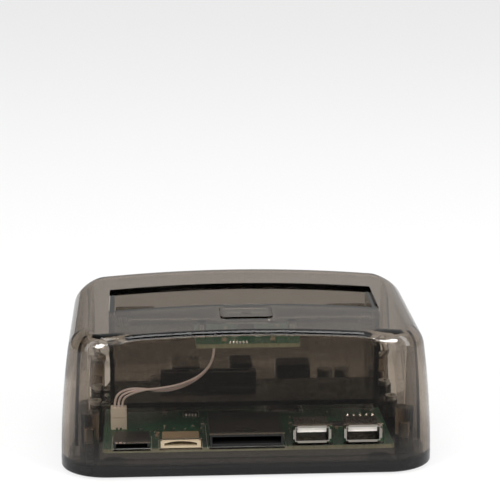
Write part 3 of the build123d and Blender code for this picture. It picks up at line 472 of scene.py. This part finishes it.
for name, points in routes.items():
    curve = bpy.data.curves.new(name + "_jacket", "CURVE")
    curve.dimensions = "3D"
    curve.bevel_depth = WIRE_WIDTH / 2
    curve.bevel_resolution = 5
    curve.resolution_u = 16
    curve.use_fill_caps = True
    spline = curve.splines.new("NURBS")
    spline.points.add(len(points) - 1)
    for point, place in zip(spline.points, points):
        point.co = (*[c * MM for c in place], 1)
    spline.order_u = 3
    spline.use_endpoint_u = True
    wire = link(bpy.data.objects.new(name + "_jacket", curve))
    finish_piece(wire, "housing", jacket, name)


# Shell: half sizes and corner, radii across, heights, front and back edges, and the steps of its mesh
HALF_W, HALF_D, RC = 72.0, 46.5, 18.4
SIDE_R, CROWN_R, SHOULDER, FACE_SHOULDER = 325.0, 650.0, 9.4, 6.0
FRONT_H, RISE, PARTING = 56.8, 4.2, 4.2
FRONT_RIDGE, BACK_RIDGE, CORNER_RIDGE = 3.0, 8.4, 7.0
THINNEST_RIDGE = 0.25
ROUND_X, ROUND_OVER = 42, 13
ROUND_DEPTH, FADE_OVER = 12, 8
SIDE_STEPS, SHOULDER_STEPS, CROWN_STEPS, RIDGE_STEPS, CORNER_STEPS, MIDDLE_STEPS = 10, 14, 22, 10, 10, 8


def circles_meet(c1, r1, c2, r2):
    """The upper right one of the two points where circles meet."""
    dx, dz = c2[0] - c1[0], c2[1] - c1[1]
    apart = math.hypot(dx, dz)
    along = (r1**2 - r2**2 + apart**2) / (2 * apart)
    off = math.sqrt(r1**2 - along**2)
    found = [
        (c1[0] + (along * dx + side * off * dz) / apart, c1[1] + (along * dz - side * off * dx) / apart)
        for side in (1, -1)
    ]
    return max(found, key=sum)


def section(y, half, height, shoulder, inset, z0):
    """Ring of points across the body, from the lower right over the top to the lower left."""
    sr, cr, rr = SIDE_R - inset, CROWN_R - inset, shoulder - inset
    sc, cc = (half - sr, 0.0), (0.0, height - cr)
    rc = circles_meet(sc, sr - rr, cc, cr - rr)
    a_in = math.atan2(rc[1] - sc[1], rc[0] - sc[0])
    a_out = math.atan2(rc[1] - cc[1], rc[0] - cc[0])
    right = []
    for centre, radius, start, end, count in (
        (sc, sr, math.asin(z0 / sr), a_in, SIDE_STEPS), (rc, rr, a_in, a_out, SHOULDER_STEPS),
        (cc, cr, a_out, math.pi / 2, CROWN_STEPS),
    ):
        for k in range(count):
            a = start + (end - start) * k / count
            right.append((centre[0] + radius * math.cos(a), centre[1] + radius * math.sin(a)))
    ring = right + [(0.0, height)] + [(-x, z) for x, z in reversed(right)]
    return [(x, y, z) for x, z in ring]


def ridge_drop(radius, into):
    """How far a rounded edge lies under the top, at that distance in from the face."""
    return radius - math.sqrt(max(radius**2 - (radius - into) ** 2, 0)) if into < radius else 0.0


def ease(value):
    """Smooth step from 0 to 1."""
    value = max(0.0, min(1.0, value))
    return value * value * (3 - 2 * value)


def height_at(y, inset):
    return FRONT_H + RISE * (y + HALF_D) / (2 * HALF_D) - inset


def form_rings(inset, z0=PARTING):
    """Rings of the body from front to back, that far inside its skin.

    The front edge is rounder at its two corners: from ROUND_X outwards, and fading out at ROUND_DEPTH
    under the top.
    """
    rings = []
    for side, ridge_size in ((-1, FRONT_RIDGE), (1, BACK_RIDGE)):
        radius, ridge = RC - inset, max(ridge_size - inset, THINNEST_RIDGE)
        first = math.acos(1 - ridge / radius)
        rest = math.pi / 2 - first
        turns = [math.radians(90 * k / RIDGE_STEPS) for k in range(RIDGE_STEPS + 1)]
        intos = [ridge * (1 - math.cos(turn)) for turn in turns]
        turns = [first + rest * k / CORNER_STEPS for k in range(1, CORNER_STEPS + 1)]
        intos += [radius * (1 - math.cos(turn)) for turn in turns]
        part = []
        for into in intos:
            turn = math.acos(max(-1, min(1, 1 - into / radius)))
            y = side * (HALF_D - inset - into)
            fall = ridge_drop(ridge, into)
            rounder = ridge_drop(ridge + CORNER_RIDGE - FRONT_RIDGE, into) - fall if side < 0 else 0.0
            half = HALF_W - inset - radius + radius * math.sin(turn)
            shoulder = FACE_SHOULDER + (SHOULDER - FACE_SHOULDER) * math.sin(turn)
            height = height_at(y, inset) - fall
            part.append([
                (
                    x, y, z - rounder * ease((abs(x) - ROUND_X) / ROUND_OVER)
                    * ease((z - height + ROUND_DEPTH) / FADE_OVER),
                )
                for x, y, z in section(y, half, height, shoulder, inset, z0)
            ])
        if side > 0:
            return rings + part[::-1]
        rings += part
        for k in range(1, MIDDLE_STEPS):
            y = -(HALF_D - RC) + 2 * (HALF_D - RC) * k / MIDDLE_STEPS
            rings.append(section(y, HALF_W - inset, height_at(y, inset), SHOULDER, inset, z0))


def form_mesh(name, rings):
    """Closed form from its rings, with flat ends and a flat underside."""
    count = len(rings[0])
    verts = [p for ring in rings for p in ring]
    faces = [tuple(range(count)), tuple(reversed(range(len(verts) - count, len(verts))))]
    for r in range(len(rings) - 1):
        for k in range(count - 1):
            a = r * count + k
            faces.append((a, a + count, a + count + 1, a + 1))
    lows = [r * count for r in range(len(rings))]
    faces.append(tuple(lows) + tuple(r * count + count - 1 for r in reversed(range(len(rings)))))
    return recalc(mesh_object(name, verts, faces))


# Bosses and webs in the corners, small bosses under the top for the button board
BOSS_X, BOSS_Y, BOSS_R, BOSS_LOW, BOSS_HIGH = 60.592, 35.092, 3.6, 11.0, 23.0
WEB_REACH, WEB_THICK = 18.4, 1.6
SCREW_LOW, SCREW_HIGH, SCREW_R = 7.0, 17.0, 1.35
BUTTON_BOARD_TOP = 50.3
POST_X, POST_Y, POST_R = 17.2, -30.4, 1.7
PILOT_LOW, PILOT_HIGH, PILOT_R = 48.7, 53.55, 0.9
ABOVE = 70.0

# Slot as x0, x1, y0, y1, button hole as centre, size and corner, and the ports as centre x, half width,
# low, high. The cutters reach past the wall that they open.
SLOT = (-53.25, 53.25, -11.3, 18.45)
BUTTON_HOLE = (0, -22.0, 20.5, 15.0, 2.5)
FRONT_PORTS = (
    (-44.54, 7.15, 10.7, 13.7), (-25.97, 8.05, 10.7, 14.8), (-0.85, 14.35, 10.7, 16.4),
    (24.02, 7.65, 11.8, 19.4), (43.48, 7.65, 11.8, 19.4),
)
REAR_PORTS = ((-22.24, 6.4, 10.7, 22.1), (1.112, 4.9, 10.7, 22.3), (23.352, 7.4, 10.7, 20.7))
SLOT_FROM, BUTTON_FROM, CUT_TOP = 20, 45, 80
FRONT_CUT, REAR_CUT = (-50, -40), (40, 50)


def web(x, y):
    """Diagonal web from a boss into the body's corner, as tall as the corner."""
    ux, uy = math.copysign(math.sqrt(0.5), x), math.copysign(math.sqrt(0.5), y)
    verts = [
        (x + ux * along - uy * side, y + uy * along + ux * side, z)
        for along in (0, WEB_REACH) for side in (-WEB_THICK / 2, WEB_THICK / 2) for z in (BOSS_LOW, ABOVE)
    ]
    return recalc(mesh_object("web", verts, BOX_SIDES))


shell = form_mesh("shell_skin", form_rings(0))
combine(shell, form_mesh("inside", form_rings(WALL, PARTING - 1)), "DIFFERENCE")
corners = [(x, y) for x in (-BOSS_X, BOSS_X) for y in (-BOSS_Y, BOSS_Y)]
posts = [(x, POST_Y) for x in (-POST_X, POST_X)]
bosses = [rod(x, y, BOSS_LOW, BOSS_HIGH, BOSS_R) for x, y in corners] + [web(x, y) for x, y in corners]
bosses += [rod(x, y, BUTTON_BOARD_TOP, ABOVE, POST_R, sides=24) for x, y in posts]
for boss in bosses:
    combine(boss, form_mesh("mid", form_rings(WALL / 2, 2)), "INTERSECT")
for boss in bosses:
    combine(shell, boss, "UNION")
cutters = [box(*SLOT, SLOT_FROM, CUT_TOP), rounded_block(*BUTTON_HOLE, BUTTON_FROM, CUT_TOP)]
for ports, cut in ((FRONT_PORTS, FRONT_CUT), (REAR_PORTS, REAR_CUT)):
    cutters += [box(x - half, x + half, *cut, low, high) for x, half, low, high in ports]
cutters += [rod(x, y, SCREW_LOW, SCREW_HIGH, SCREW_R, sides=24) for x, y in corners]
cutters += [rod(x, y, PILOT_LOW, PILOT_HIGH, PILOT_R, sides=24) for x, y in posts]
for cutter in cutters:
    combine(shell, cutter, "DIFFERENCE")
smooth(shell, 30)
weighted = shell.modifiers.new("even", "WEIGHTED_NORMAL")
weighted.keep_sharp = True
weighted.weight = 80
finish_piece(shell, "housing", shell_smoke, "top_shell")


# Small parts on the boards, in one object for each kind
def row_mesh(name, pieces, material, bevel=0.0):
    """One object from many small solids, each a list of (x, y, z) corners with its faces."""
    verts, faces = [], []
    for points, sides in pieces:
        faces += [tuple(len(verts) + k for k in side) for side in sides]
        verts += points
    obj = mesh_object(name, verts, faces)
    if bevel:
        bevelled(obj, bevel)
    finish_piece(obj, "housing", material)


def brick(cx, cy, z0, w, d, h):
    """Small block on a board, about its centre."""
    xs, ys, zs = (cx - w / 2, cx + w / 2), (cy - d / 2, cy + d / 2), (z0, z0 + h)
    return [(x, y, z) for x in xs for y in ys for z in zs], BOX_SIDES


LEAD_RUN, LEAD_THICK, LEAD_SHARE = 0.95, 0.12, 0.42


def gull_lead(x, y, dx, dy, width, z0, rise):
    """Bent chip lead, leaving the chip at (x, y) in the direction (dx, dy)."""
    t = LEAD_THICK
    line = [
        (-0.1, rise), (0.28, rise), (0.45, t), (LEAD_RUN, t), (LEAD_RUN, 0), (0.36, 0), (0.2, rise - t),
        (-0.1, rise - t),
    ]
    verts = []
    for side in (-width / 2, width / 2):
        verts += [(x + dx * r - dy * side, y + dy * r + dx * side, z0 + z) for r, z in line]
    n = len(line)
    faces = [tuple(range(n)), tuple(reversed(range(n, 2 * n)))]
    faces += [(k, n + k, n + (k + 1) % n, (k + 1) % n) for k in range(n)]
    return verts, faces


BOARD_TOP = 10.9
BOARD_HALF, BOARD_DEEP = 55.6, 43.8
BRIDGE_CHIP, READER_CHIP, MEMORY_CHIP = (0.30, 0.10), (-0.10, -0.14), (-0.38, -0.06)


def board_place(share):
    """Point of the main board from its shares of the board's half sizes."""
    return BOARD_HALF * share[0], BOARD_DEEP * share[1]


# Chips as place, width, depth, pitch and number of leads, rise of a lead, and the sides that have leads
EVERY_SIDE, TWO_SIDES = ((1, 0), (-1, 0), (0, 1), (0, -1)), ((0, 1), (0, -1))
CHIP_LEADS = (
    (BRIDGE_CHIP, 12.0, 12.0, 0.8, 13, 0.9, EVERY_SIDE), (READER_CHIP, 7.0, 7.0, 0.5, 12, 0.8, EVERY_SIDE),
    (MEMORY_CHIP, 5.0, 4.0, 1.27, 4, 0.9, TWO_SIDES),
)
leads = []
for share, wide, deep, pitch, count, rise, sides in CHIP_LEADS:
    cx, cy = board_place(share)
    for dx, dy in sides:
        for k in range(count):
            off = (k - (count - 1) / 2) * pitch
            x, y = cx + dx * wide / 2 - dy * off, cy + dy * deep / 2 + dx * off
            leads.append(gull_lead(x, y, dx, dy, pitch * LEAD_SHARE, BOARD_TOP, rise))
row_mesh("chip_leads", leads, tin)

# Places on the board that are taken: by nodes, with room round them, and by screws, cans and crystals
ROOM_X, ROOM_Y = 1.6, 1.4
TAKEN_NODES = (
    "lead_header", "micro_card_socket", "mini_card_socket", "sd_socket_cover", "usb_shell_left",
    "usb_shell_right", "usb_b_socket", "power_inlet", "switch_housing", "bridge_chip", "card_reader_chip",
    "memory_chip", "power_coil", "ferrite_bead", "solder_joints", "sata_connector",
)
TAKEN_ROUND = (
    ((-0.55, 0.14), 6.4), ((0.60, 0.20), 6.4), ((0.66, 0.82), 4.4), ((0.79, 0.82), 4.4),
    ((-0.62, 0.62), 4.4), ((-0.92, 0.0), 4.4), ((0.92, 0.0), 4.4), ((0.92, 0.86), 4.4),
    ((-0.92, 0.86), 4.4),
)
taken = []
for name in TAKEN_NODES:
    low, high = [[c / MM for c in corner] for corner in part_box(name)]
    taken.append((low[0] - ROOM_X, high[0] + ROOM_X, low[1] - ROOM_Y, high[1] + ROOM_Y))
for share, half in TAKEN_ROUND:
    cx, cy = board_place(share)
    taken.append((cx - half, cx + half, cy - half, cy + half))

# Chip capacitors and resistors as length, width and height, on a loose grid in front and anywhere behind
CHIP_SIZES = ((1.0, 0.5, 0.4), (1.6, 0.8, 0.5), (2.0, 1.25, 0.9))
RESISTOR_TALL = 0.5
BODY_SHARE, END_PLACE, END_SHARE, END_OVER = 0.6, 0.4, 0.24, 1.04
GRID_LEFT, GRID_FRONT, STEP_X, STEP_Y, COLUMNS, ROWS = -52.5, -30.0, 3.5, 3.0, 31, 5
LOOSE_X, LOOSE_Y, LOOSE_COUNT = (-52, 52), (-12, 40), 120
SKIPPED, SHIFT_X, SHIFT_Y = 0.45, 0.7, 0.6
PART_ROOM_X, PART_ROOM_Y = 1.9, 1.7
ceramic, resistor, ends, marks = [], [], [], []
tries = [(GRID_LEFT + STEP_X * i, GRID_FRONT + STEP_Y * j) for j in range(ROWS) for i in range(COLUMNS)]
tries += [(rng.uniform(*LOOSE_X), rng.uniform(*LOOSE_Y)) for _ in range(LOOSE_COUNT)]
for x, y in tries:
    if rng.random() < SKIPPED:
        continue
    x, y = x + rng.uniform(-SHIFT_X, SHIFT_X), y + rng.uniform(-SHIFT_Y, SHIFT_Y)
    if any(a < x < b and c < y < d for a, b, c, d in taken):
        continue
    long, wide, tall = rng.choice(CHIP_SIZES)
    turned = rng.random() < 0.5
    kind = resistor if tall == RESISTOR_TALL else ceramic
    body, end = (wide, long * BODY_SHARE), (wide * END_OVER, long * END_SHARE)
    kind.append(brick(x, y, BOARD_TOP, *(body if turned else body[::-1]), tall))
    for side in (-END_PLACE, END_PLACE):
        ex, ey = (x, y + side * long) if turned else (x + side * long, y)
        ends.append(brick(ex, ey, BOARD_TOP, *(end if turned else end[::-1]), tall * END_OVER))
    taken.append((x - PART_ROOM_X, x + PART_ROOM_X, y - PART_ROOM_Y, y + PART_ROOM_Y))
tan_body = moulded("ceramic body", (0.42, 0.33, 0.24), 0.35, 0.2, 0.01)
row_mesh("ceramic_parts", ceramic, tan_body, bevel=0.05)
row_mesh("resistor_parts", resistor, epoxy, bevel=0.04)
row_mesh("part_ends", ends, tin, bevel=0.04)


PRINT_WIDE, PRINT_TALL = 0.18, 0.02


def outline(cx, cy, w, d):
    """Four thin printed lines round a part."""
    t, h = PRINT_WIDE, PRINT_TALL
    return [
        brick(cx, cy - d / 2, BOARD_TOP, w, t, h), brick(cx, cy + d / 2, BOARD_TOP, w, t, h),
        brick(cx - w / 2, cy, BOARD_TOP, t, d, h), brick(cx + w / 2, cy, BOARD_TOP, t, d, h),
    ]


for share, w, d in (
    (BRIDGE_CHIP, 15, 15), (READER_CHIP, 10, 10), (MEMORY_CHIP, 6.2, 7.2), ((0.72, 0.56), 9.2, 9.2),
    ((0.642, -0.452), 7.4, 3.6),
):
    marks += outline(*board_place(share), w, d)
for x, y, w, d in (
    (-44.54, -36.9, 15, 15.4), (-25.97, -39.0, 16.6, 10.4), (-0.85, -30.0, 30, 29),
    (46.4, -10.2, 13.2, 3.0),
):
    marks += outline(x, y, w, d)
printed = moulded("printed lines", (0.75, 0.76, 0.72), 0.6, 0.2, 0.005)
row_mesh("printed_outlines", marks, printed)

# Button board: small parts as x, y, width, depth, and the tips of a row of soldered pins
SMALL_PARTS = (
    (-9.0, -35.5, 1.6, 0.8), (9.5, -35.0, 1.6, 0.8), (-8.0, -24.0, 0.8, 1.6), (12.0, -22.0, 1.6, 0.8),
)
SMALL_TALL, TAB_WIDE, TAB_DEEP, TAB_OUT = 0.5, 0.5, 0.45, 0.05
small = [brick(x, y, BUTTON_BOARD_TOP, w, d, SMALL_TALL) for x, y, w, d in SMALL_PARTS]
row_mesh("button_board_parts", small, tan_body, bevel=0.05)
tabs = [
    brick(x + side * (w / 2 + TAB_OUT), y, BUTTON_BOARD_TOP, TAB_WIDE, TAB_DEEP, SMALL_TALL)
    for x, y, w, d in SMALL_PARTS if w > d for side in (-1, 1)
]
row_mesh("button_board_ends", tabs, tin, bevel=0.04)
PIN_COUNT, PIN_FIRST, PIN_PITCH, PIN_Y, PIN_SIDES = 6, -6.9, 1.28, -38.4, 12
PIN_STEPS = ((0.5, 0.0), (0.38, 0.4), (0.16, 0.8))
pins = []
for k in range(PIN_COUNT):
    x, n = PIN_FIRST + PIN_PITCH * k, PIN_SIDES
    verts = [
        (x + r * c, PIN_Y + r * q, BUTTON_BOARD_TOP + z) for r, z in PIN_STEPS for c, q in round_ring(n)
    ]
    faces = [tuple(reversed(range(n))), tuple(range(2 * n, 3 * n))]
    faces += [
        (r * n + j, r * n + (j + 1) % n, (r + 1) * n + (j + 1) % n, (r + 1) * n + j)
        for r in range(2) for j in range(n)
    ]
    pins.append((verts, faces))
row_mesh("button_board_pins", pins, tin)


# Stage. Camera and transmission rays see a white room. Polished faces reflect a dark room in front and
# pale screens left and right of it, as stops of turn and level: 0 is left, 0.25 front, 0.5 right and
# 0.75 behind. On the floor that room turns about a point behind the dock, and the floor that a polished
# face mirrors is at least PALE_LEVEL from just in front of the dock on.
GLOSSY_ROOM = (
    (0.0, 0.20), (0.040, 1.0), (0.105, 1.0), (0.135, 0.75), (0.180, 0.10), (0.320, 0.10), (0.365, 0.75),
    (0.395, 1.0), (0.460, 1.0), (0.500, 0.75), (0.600, 0.55), (0.750, 0.38), (0.820, 0.12), (0.930, 0.08),
    (1.0, 0.20),
)
GLOSSY_PEAK = 1.2
AMBIENT = 0.40
WHITE = (1, 1, 1, 1)
FLOOR_HALF = 6
FLOOR_DARK, FLOOR_PALE = (0.80, 0.80, 0.80), (0.84, 0.84, 0.84)
FLOOR_SEEN_GLOW, FLOOR_MIRRORED_GLOW = 0.72, 0.92
ROOM_BEHIND = 0.12
PALE_FRONT, PALE_FULL, PALE_LEVEL = -0.110, -0.060, 0.75


def room_level(graph, vector):
    """Level that polished faces reflect in that direction."""
    turn = graph.node("ShaderNodeTexGradient", gradient_type="RADIAL")
    graph.put(turn.inputs[0], vector)
    ramp = graph.node("ShaderNodeValToRGB")
    ramp.color_ramp.interpolation = "EASE"
    stops = ramp.color_ramp.elements
    while len(stops) < len(GLOSSY_ROOM):
        stops.new(0.5)
    for stop, (place, level) in zip(stops, GLOSSY_ROOM):
        stop.position = place
        stop.color = (level, level, level, 1)
    graph.put(ramp.inputs[0], turn.outputs["Color"])
    return graph.math("MULTIPLY", ramp.outputs["Color"], GLOSSY_PEAK)


def rays(graph):
    """1 for rays that see the white room, and 1 for rays that a polished face sends out."""
    path = graph.node("ShaderNodeLightPath").outputs
    return graph.math("MAXIMUM", path["Is Camera Ray"], path["Is Transmission Ray"]), path["Is Glossy Ray"]


def floor_material():
    """Pale floor that glows for the rays which see or mirror it."""
    s = Shader("pale floor")
    behind = s.node("ShaderNodeMapping")
    behind.inputs["Location"].default_value = (0, -ROOM_BEHIND, 0)
    s.put(behind.inputs["Vector"], s.coord)
    pale = s.spread(s.split(s.coord)["Y"], PALE_FRONT, PALE_FULL, 0, 1)
    pale = s.math("MULTIPLY", pale, PALE_LEVEL, True)
    level = s.math("MAXIMUM", room_level(s, behind.outputs[0]), pale)
    seen, glossy = rays(s)
    diffuse = s.node("ShaderNodeBsdfDiffuse")
    s.put(diffuse.inputs["Color"], s.mix(s.noise(900, 2), FLOOR_DARK, FLOOR_PALE))
    glow = s.node("ShaderNodeEmission")
    strength = s.math("ADD", s.math("MULTIPLY", glossy, level), s.math("SUBTRACT", 1.0, glossy))
    s.put(glow.inputs["Color"], WHITE)
    s.put(glow.inputs["Strength"], strength)
    mirrored = s.math("MULTIPLY", glossy, FLOOR_MIRRORED_GLOW)
    mixed = s.node("ShaderNodeMixShader")
    s.put(mixed.inputs[0], s.math("MAXIMUM", s.math("MULTIPLY", seen, FLOOR_SEEN_GLOW), mirrored))
    s.put(mixed.inputs[1], diffuse.outputs[0])
    s.put(mixed.inputs[2], glow.outputs[0])
    return s.done(mixed.outputs[0])


floor_mesh = bpy.data.meshes.new("floor")
floor_corners = [(x * FLOOR_HALF, y * FLOOR_HALF, 0) for x, y in ((-1, -1), (1, -1), (1, 1), (-1, 1))]
floor_mesh.from_pydata(floor_corners, [], [(0, 1, 2, 3)])
floor_mesh.materials.append(floor_material())
floor = link(bpy.data.objects.new("floor", floor_mesh))
floor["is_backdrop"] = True


def light_world():
    """White room for the rays that see it, its reflected levels for polished faces, and soft light."""
    world = bpy.data.worlds.new("studio")
    bpy.context.scene.world = world
    world.use_nodes = True
    w = Nodes(world.node_tree)
    out = w.node("ShaderNodeOutputWorld")
    back = w.node("ShaderNodeBackground")
    level = room_level(w, w.node("ShaderNodeTexCoord").outputs["Generated"])
    seen, glossy = rays(w)
    soft = w.math("MULTIPLY", w.math("SUBTRACT", 1.0, glossy), AMBIENT)
    unseen = w.math("ADD", w.math("MULTIPLY", glossy, level), soft)
    w.put(back.inputs["Color"], WHITE)
    w.put(back.inputs["Strength"], w.math("MAXIMUM", seen, unseen))
    w.put(out.inputs["Surface"], back.outputs[0])


def softbox(name, place, target, width, height, power):
    """Area lamp that faces a point, with its place and size in metres and its power in watts."""
    data = bpy.data.lights.new(name, "AREA")
    data.shape = "RECTANGLE"
    data.size, data.size_y, data.energy = width, height, power
    lamp = link(bpy.data.objects.new(name, data))
    lamp.location = place
    aim = Vector(target) - Vector(place)
    lamp.rotation_euler = aim.to_track_quat("-Z", "Y").to_euler()


light_world()
softbox("top_box", (0.0, 0.1, 1.4), (0, 0, 0.03), 1.0, 0.7, 8)
softbox("front_box", (0.0, -0.95, 1.15), (0, -0.03, 0.03), 1.3, 0.5, 5)
softbox("left_key", (-0.88, -0.80, 0.70), (-0.06, -0.04, 0.04), 0.36, 0.36, 10)
softbox("right_key", (0.86, -0.81, 0.80), (0.06, -0.04, 0.04), 0.36, 0.36, 10)
softbox("left_strip", (-1.2, -0.3, 0.6), (0, 0, 0.03), 0.25, 0.9, 2)
softbox("right_strip", (1.2, -0.3, 0.6), (0, 0, 0.03), 0.25, 0.9, 3)

bpy.context.scene.view_settings.view_transform = "Standard"
low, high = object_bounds()
